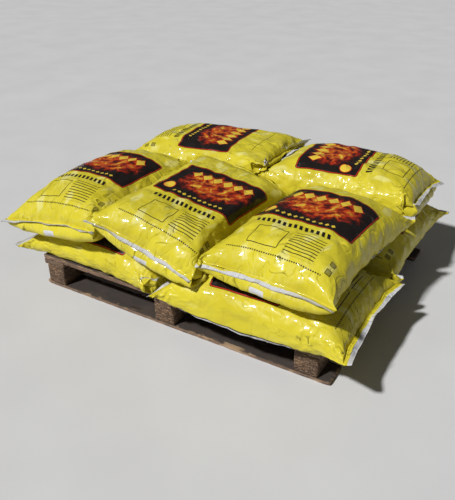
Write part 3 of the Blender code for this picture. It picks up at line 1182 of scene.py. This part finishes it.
def carried_section(node, axis, along, ring, arc):
    """The closed mesh of a section at each station, with rings and a fan that close both ends.

    Its map gives metres along the piece and round its section. The ends have the second material.
    """
    low, high = (np.array(corner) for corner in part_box(node))
    middle = (low + high) / 2
    shares = np.linspace(1.0, 0.0, END_RINGS + 2)[1:-1, None, None]
    ring = np.concatenate([ring[:1] * shares[::-1], ring, ring[-1:] * shares])
    place = np.pad(along, END_RINGS, "edge")
    rows, points = ring.shape[:2]
    spot = np.empty((rows, points, 3))
    spot[..., axis] = (low[axis] + place)[:, None]
    spot[..., 1 - axis] = middle[1 - axis] + ring[..., 0]
    spot[..., 2] = middle[2] + ring[..., 1]
    ends = np.stack([middle, middle])
    ends[:, axis] = low[axis], high[axis]
    quads = grid_quads(rows, points)
    first = np.arange(points)
    last = first + (rows - 1) * points
    fans = np.concatenate([
        np.stack([np.full(points, rows * points), np.roll(first, -1), first], -1),
        np.stack([np.full(points, rows * points + 1), last, np.roll(last, -1)], -1)])
    if axis == 1:
        quads = quads[:, ::-1]
        fans = fans[:, ::-1]
    mesh = bpy.data.meshes.new(node + "_wood")
    points_all = np.concatenate([spot.reshape(-1, 3), ends])
    mesh.from_pydata(points_all.tolist(), [], quads.tolist() + fans.tolist())
    row, column = grid_places(quads, points)
    arc = np.append(arc, 2.0 * arc[-1] - arc[-2])
    set_map(mesh, "board", np.stack([place[row], arc[column]], -1))
    side = np.arange(len(quads)) // points
    is_end = np.ones(len(mesh.polygons), int)
    is_end[:len(quads)] = (side < END_RINGS) | (side >= rows - 1 - END_RINGS)
    mesh.polygons.foreach_set("material_index", is_end)
    return mesh


def set_attribute(mesh, name, values):
    """A number for each point of the sections, and 0 for the middles of both ends."""
    every = np.zeros(len(mesh.vertices), SINGLE)
    every[:values.size] = values.ravel()
    mesh.attributes.new(name, "FLOAT", "POINT").data.foreach_set("value", every)


# Dark, middle and light tones of the woods, and what lies on them
DECK_TONES = ((0.080, 0.048, 0.030), (0.190, 0.115, 0.072), (0.320, 0.205, 0.130))
BASE_TONES = ((0.075, 0.045, 0.028), (0.200, 0.122, 0.076), (0.340, 0.225, 0.140))
END_TONES = ((0.045, 0.028, 0.018), (0.150, 0.092, 0.056), (0.270, 0.175, 0.105))
RUST_TONES = ((0.35, (0.030, 0.016, 0.011)), (0.60, (0.170, 0.062, 0.026)))
CHIP_TONES = ((0.085, 0.045, 0.024), (0.215, 0.120, 0.064), (0.430, 0.265, 0.145))
BARE_WOOD = (0.42, 0.28, 0.155)
KNOT_BROWN = (0.035, 0.018, 0.010)
GLUE_BROWN = (0.026, 0.017, 0.012)
DIRT = (0.030, 0.022, 0.017)
BLOCK_DIRT = (0.035, 0.024, 0.017)
# Upper faces are darkened: partly trodden grime, partly painted shade, most on the base boards in
# the fork pockets
SHADED_GRIME_BROWN = (0.034, 0.028, 0.025)
DECK_SHADE_AND_GRIME = 0.80
BASE_SHADE_AND_GRIME = 0.92
SAW_PITCH = 0.0040
CHIP_PLACES = (0.0, 0.45, 1.0)
CHIP_FLAKES = 120.0

# Depth of the relief of each
BOARD_RELIEF = 0.0016
END_RELIEF = 0.0012
CHIP_RELIEF = 0.0030
RUST_RELIEF = 0.0004
FLOOR_RELIEF = 0.0002


def sawn_finish(name, tones, shade_and_grime):
    """Weathered softwood: long grain, knots, saw marks, dirt, bare wood on worn edges, and upper
    faces darkened with grime and painted shade.
    """
    finish = Finish(name)
    along, around, _ = finish.parts(finish.map("board"))
    place = finish.place()
    bend = place.noise(7.0)
    grain = finish.vector(along * 3.0, around * 90.0 + bend * 5.0, bend).noise(1.0, 4.0, 0.6)
    fibre = finish.vector(along * 30.0, around * 900.0).noise(1.0, 1.0)
    blotch = place.noise(12.0, 4.0, 0.6)
    colour = (grain * 0.75 + blotch * 0.25).toned(tones)
    dirt = place.noise(24.0, 5.0, 0.7).over(0.56, 0.20) * 0.6
    colour = colour.mixed(DIRT, dirt)
    upper = finish.attribute("upper_face")
    # Painted shade with grime on the upper faces, strongest on the base boards under the deck
    upper_shade_and_grime = upper * (0.75 + place.noise(9.0, 3.0) * 0.5).clipped() * shade_and_grime
    colour = colour.mixed(SHADED_GRIME_BROWN, upper_shade_and_grime)
    bare = (finish.attribute("bare") * 1.4 + (fibre - 0.5) * 0.6).over(0.45, 0.35)
    colour = colour.mixed(BARE_WOOD, bare * 0.7)
    knot = finish.vector(along * 4.5, around * 14.0).cells(1.0)
    colour = colour.mixed(KNOT_BROWN, knot.under(0.11, 0.05) * 0.8)
    saw = (along + bend * 0.004).folded(SAW_PITCH) / (SAW_PITCH / 2.0)
    height = grain * 0.6 + fibre * 0.25 + saw * 0.10 - dirt * 0.2
    return finish.paint(colour, 0.78 + blotch * 0.18, height, BOARD_RELIEF)


def end_finish():
    """Sawn ends: growth rings, darkened and split by the weather."""
    finish = Finish("end_grain")
    place = finish.place()
    x, y, z = finish.parts(place)
    heart = finish.vector(x + y * 0.9, (z + 0.05) * 2.2)
    settings = {"wave_type": "RINGS", "rings_direction": "SPHERICAL"}
    inputs = {"Vector": heart, "Scale": 60.0, "Distortion": 3.0, "Detail": 2.0}
    rings = heart.node("ShaderNodeTexWave", settings, inputs, "Fac")
    blotch = place.noise(40.0, 4.0, 0.7)
    colour = (rings * 0.35 + blotch * 0.65).toned(END_TONES)
    height = rings * 0.4 + blotch * 0.6
    return finish.paint(colour, 0.82 + blotch * 0.12, height, END_RELIEF)


def pressed_chip_finish():
    """Pressed wood chip: flakes of many browns in dark glue, with a crumbly face."""
    finish = Finish("pressed_chip_block")
    place = finish.place()
    x, y, z = finish.parts(place)
    warp = place.noise(60.0)
    flake = finish.vector(x + warp * 0.010, y + warp * 0.006, z * 2.4 + warp * 0.012)
    tone = finish.parts(flake.cells(CHIP_FLAKES, "F1", "Color"))[0]
    crack = flake.cells(CHIP_FLAKES, "DISTANCE_TO_EDGE")
    colour = tone.ramp(tuple(zip(CHIP_PLACES, CHIP_TONES)))
    colour = colour.mixed(GLUE_BROWN, crack.under(0.09, 0.08) * 0.85)
    blotch = place.noise(18.0, 4.0, 0.6)
    colour = colour.mixed(BLOCK_DIRT, blotch.over(0.52, 0.22) * 0.5)
    return finish.paint(colour, 0.85 + blotch * 0.10, tone * 0.5 + crack * 0.8, CHIP_RELIEF)


def rust_finish():
    """Rusted steel of the nails, in fine dark and orange spots."""
    finish = Finish("rusty_steel", Metallic=0.35)
    spots = finish.place().noise(220.0, 3.0)
    return finish.paint(spots.ramp(RUST_TONES), 0.55 + spots * 0.35, spots, RUST_RELIEF)


# Nails through the deck boards into the stringers: a head's profile is shares of its radius and
# of its rise over the wood, and at each crossing two nails stand apart on a slant
NAIL_RADIUS = 0.0042
NAIL_RISE = 0.0006
NAIL_PROFILE = ((1.0, -0.5), (0.97, 0.55), (0.55, 0.95))
NAIL_SIDES = 10
NAIL_SPREAD = 0.028
NAIL_PAIR = ((-1, 0.3), (1, 0.7))
NAIL_SHAKE = 0.08
NAIL_SEED = 5


def nail_heads(name, places, material):
    """Low domes, one on each place: the profile turned about its middle, closed above and below."""
    angle = np.arange(NAIL_SIDES) / NAIL_SIDES * 2.0 * np.pi
    radii, rises = np.array(NAIL_PROFILE).T[..., None]
    rings = np.stack([radii * np.cos(angle) * NAIL_RADIUS, radii * np.sin(angle) * NAIL_RADIUS,
                      rises * np.full(NAIL_SIDES, NAIL_RISE)], -1).reshape(-1, 3)
    one = np.concatenate([rings, [[0.0, 0.0, NAIL_RISE], [0.0, 0.0, rings[0, 2]]]])
    foot = np.arange(NAIL_SIDES)
    crown = foot + len(rings) - NAIL_SIDES
    fans = np.concatenate([
        np.stack([crown, np.roll(crown, -1), np.full(NAIL_SIDES, len(rings))], -1),
        np.stack([np.roll(foot, -1), foot, np.full(NAIL_SIDES, len(rings) + 1)], -1)])
    spots = np.array(places)
    first = np.arange(len(spots))[:, None, None] * len(one)
    quads = (grid_quads(len(NAIL_PROFILE), NAIL_SIDES) + first).reshape(-1, 4)
    fans = (fans + first).reshape(-1, 3)
    mesh = bpy.data.meshes.new(name)
    points = (spots[:, None] + one).reshape(-1, 3)
    mesh.from_pydata(points.tolist(), [], quads.tolist() + fans.tolist())
    add_piece(name, mesh, [material])


def nodes_named(start):
    """The nodes of the construction whose names start with a word, in its order."""
    return [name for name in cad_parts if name.startswith(start)]


def build_nails(material):
    """Two nails at each crossing of a deck board and a stringer."""
    rng = np.random.default_rng(NAIL_SEED)
    places = []
    for board in nodes_named("deck_board"):
        board_low, board_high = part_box(board)
        for stringer in nodes_named("stringer"):
            low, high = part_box(stringer)
            for side, share in NAIL_PAIR:
                share += rng.uniform(-NAIL_SHAKE, NAIL_SHAKE)
                y = board_low[1] + (board_high[1] - board_low[1]) * share
                places.append(((low[0] + high[0]) / 2 + side * NAIL_SPREAD, y, DECK_TOP))
    nail_heads("deck_nails", places, material)


def build_pallet():
    """Each board and block, in the order of their names, as a worn piece that stands for it."""
    deck_wood = sawn_finish("weathered_board", DECK_TONES, DECK_SHADE_AND_GRIME)
    base_wood = sawn_finish("weathered_base_board", BASE_TONES, BASE_SHADE_AND_GRIME)
    end = end_finish()
    chip = pressed_chip_finish()
    wooden = sorted(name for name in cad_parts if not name.startswith("sack"))
    for seed, name in enumerate(wooden, WOOD_SEED):
        if name.startswith("block"):
            mesh = sawn_piece(name, 1, BLOCK_EDGE, seed)
            piece = add_piece(name + "_wood", mesh, [chip, chip])
        else:
            split = SPLIT if name == "base_board_front" else None
            mesh = sawn_piece(name, int(name.startswith("stringer")), BOARD_EDGE, seed, split)
            face = base_wood if name.startswith("base") else deck_wood
            piece = add_piece(name + "_wood", mesh, [face, end])
        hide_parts(name)
    build_nails(rust_finish())


# Pale floor, a high sun-like key lamp from the front left and a faint even sky
FLOOR_SIZE = 30.0
FLOOR_TONES = ((0.3, (0.61, 0.61, 0.61)), (0.7, (0.64, 0.64, 0.64)))
WHITE = (1.0, 1.0, 1.0, 1.0)
KEY_FROM = (-0.26, -0.60, 0.76)
KEY_STRENGTH = 3.65
KEY_WIDTH = 4.0
SKY_STRENGTH = 0.08

# The photograph's view, worked out from the pallet's corners
CAMERA_PLACE = (1.083, -1.900, 1.280)
CAMERA_LENS = 44.01
CAMERA_FILM = 36.0
CAMERA_YAW = 31.23
CAMERA_PITCH = 28.83
CAMERA_ROLL = -0.30


def build_floor():
    """A plain pale floor under the pallet."""
    finish = Finish("pale_floor")
    cloud = finish.place().noise(3.0)
    bpy.ops.mesh.primitive_plane_add(size=FLOOR_SIZE)
    floor = bpy.context.object
    floor.name = "floor"
    material = finish.paint(cloud.ramp(FLOOR_TONES), 0.55 + cloud * 0.1, cloud, FLOOR_RELIEF)
    floor.data.materials.append(material)


def build_lights():
    """The key lamp, a sun KEY_WIDTH degrees wide, and the sky."""
    key = bpy.data.lights.new("key", "SUN")
    key.energy = KEY_STRENGTH
    key.angle = math.radians(KEY_WIDTH)
    lamp = bpy.data.objects.new("key", key)
    lamp.rotation_euler = (-Vector(KEY_FROM)).to_track_quat("-Z", "Y").to_euler()
    bpy.context.scene.collection.objects.link(lamp)
    world = bpy.data.worlds.new("studio")
    bpy.context.scene.world = world
    world.use_nodes = True
    sky = world.node_tree.nodes["Background"]
    sky.inputs["Color"].default_value = WHITE
    sky.inputs["Strength"].default_value = SKY_STRENGTH
    bpy.context.scene.view_settings.view_transform = "Standard"


def build_camera():
    """The camera at the photograph's angle."""
    camera = bpy.data.cameras.new("camera")
    camera.lens = CAMERA_LENS
    camera.sensor_width = CAMERA_FILM
    yaw = math.radians(CAMERA_YAW)
    pitch = math.radians(CAMERA_PITCH)
    level = math.cos(pitch)
    look = Vector((-math.sin(yaw) * level, math.cos(yaw) * level, -math.sin(pitch)))
    eye = bpy.data.objects.new("camera", camera)
    eye.location = CAMERA_PLACE
    turn = look.to_track_quat("-Z", "Y") @ Quaternion((0.0, 0.0, 1.0), math.radians(CAMERA_ROLL))
    eye.rotation_euler = turn.to_euler()
    bpy.context.scene.collection.objects.link(eye)
    bpy.context.scene.camera = eye


build_camera()
build_lights()
build_floor()
build_sacks(film_finish())
build_pallet()
